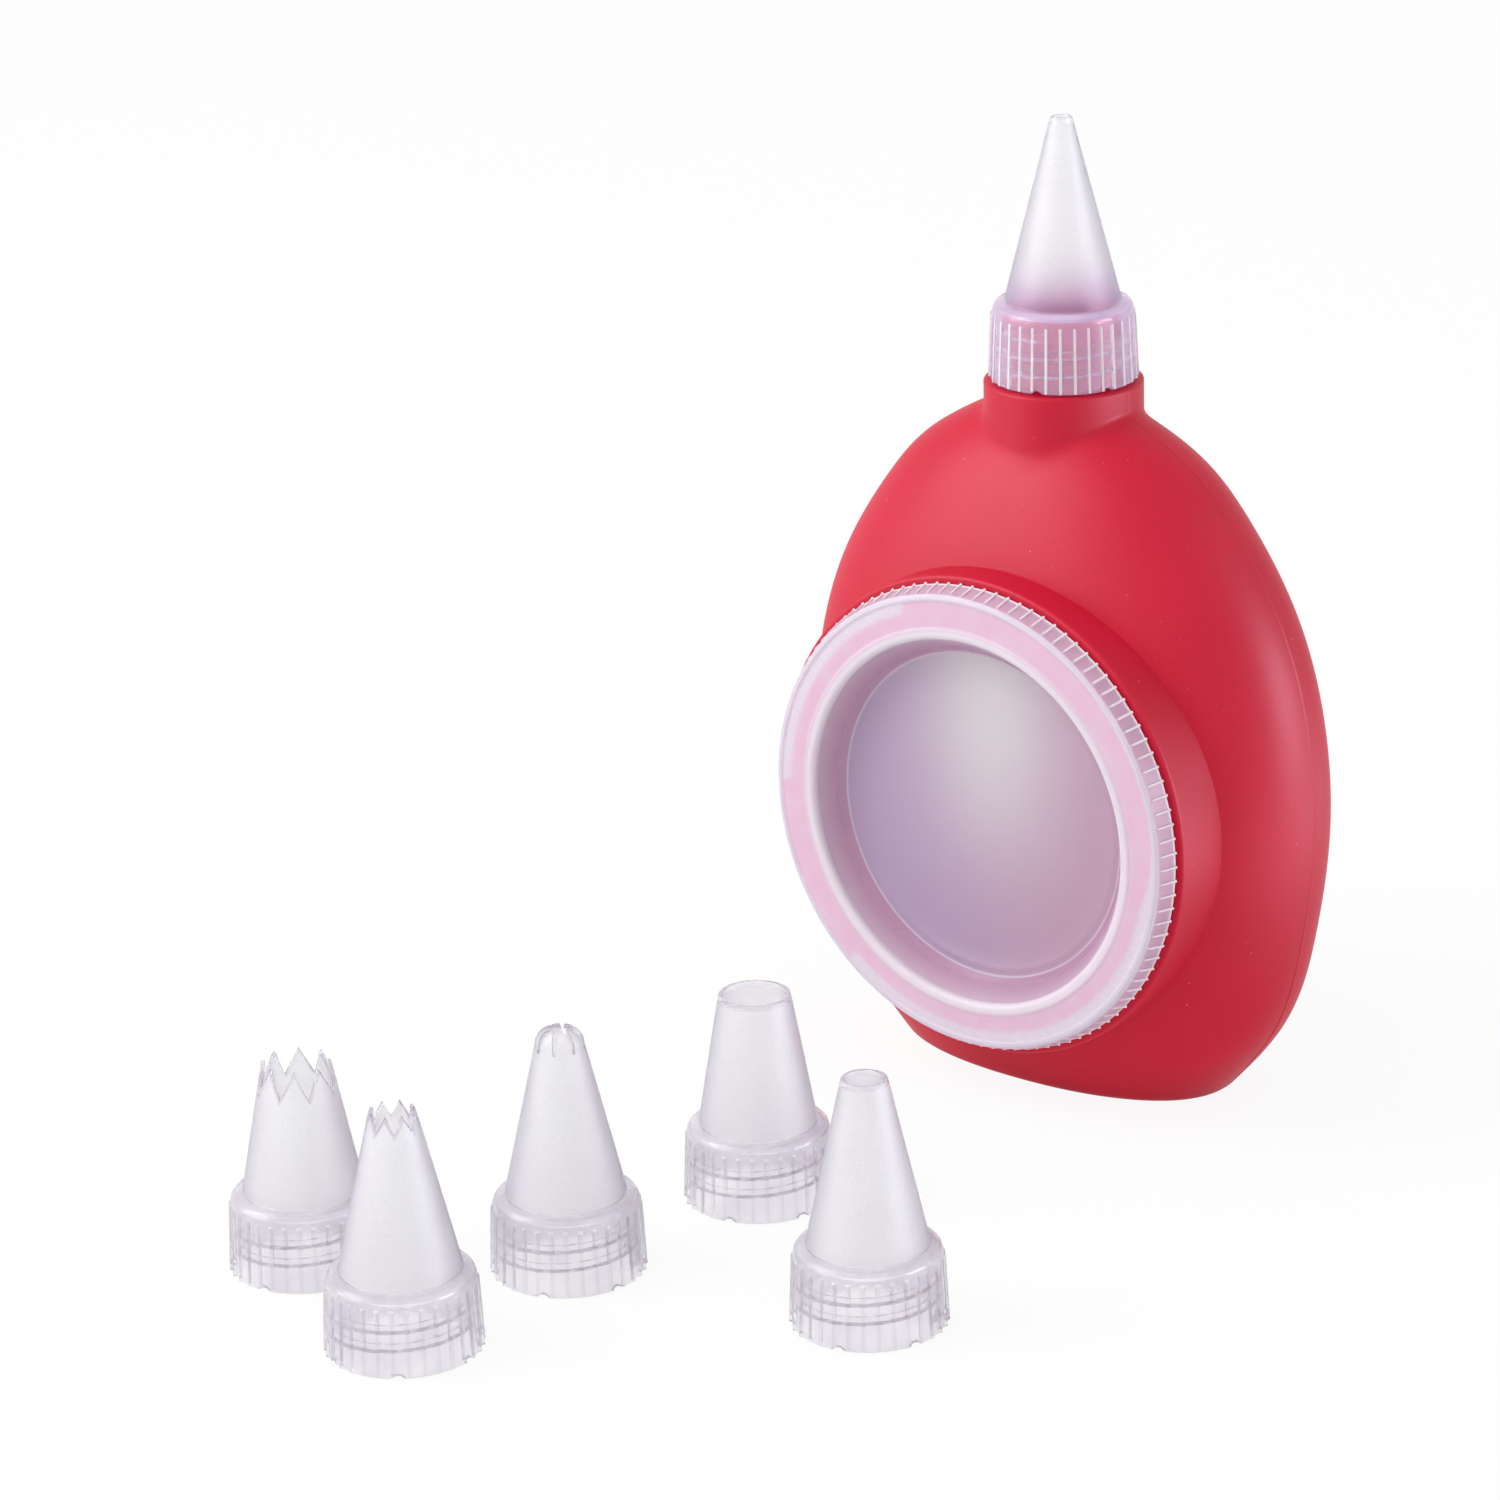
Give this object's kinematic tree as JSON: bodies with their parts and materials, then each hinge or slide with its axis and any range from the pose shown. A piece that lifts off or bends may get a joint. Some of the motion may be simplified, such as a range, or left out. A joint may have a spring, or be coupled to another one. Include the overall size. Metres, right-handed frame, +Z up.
{
  "type": "decorating bottle",
  "caption": "Soft squeeze flask for icing with a threaded neck, a nozzle screwed on it, a knurled screw lid over a round filling mouth and spare nozzles standing beside it.",
  "frame": {"origin": "middle of the flask's flat base, on the surface it stands on, under the neck's axis", "axes": "+Z up along the neck, -Y out of the filling mouth, +X to the right seen from the lid's side"},
  "size_m": [0.1154, 0.1973, 0.1711],
  "materials": {
    "silicone": "matte silicone",
    "lid_plastic": "translucent polypropylene",
    "nozzle_plastic": "frosted translucent polypropylene"
  },
  "bodies": {
    "flask": {"bottle_body": "silicone", "nozzle_medium_round": "nozzle_plastic", "nozzle_wide_round": "nozzle_plastic", "nozzle_small_star": "nozzle_plastic", "nozzle_large_star": "nozzle_plastic", "nozzle_closed_star": "nozzle_plastic"},
    "lid": {"filling_lid": "lid_plastic"},
    "fitted_nozzle": {"nozzle_fine_round": "nozzle_plastic"}
  },
  "joints": [
    {"name": "lid_removal", "type": "slide", "parent": "flask", "child": "lid", "axis": [0, -1, 0], "range_m": [0, 0.015]},
    {"name": "nozzle_removal", "type": "slide", "parent": "flask", "child": "fitted_nozzle", "axis": [0, 0, 1], "range_m": [0, 0.02]}
  ]
}
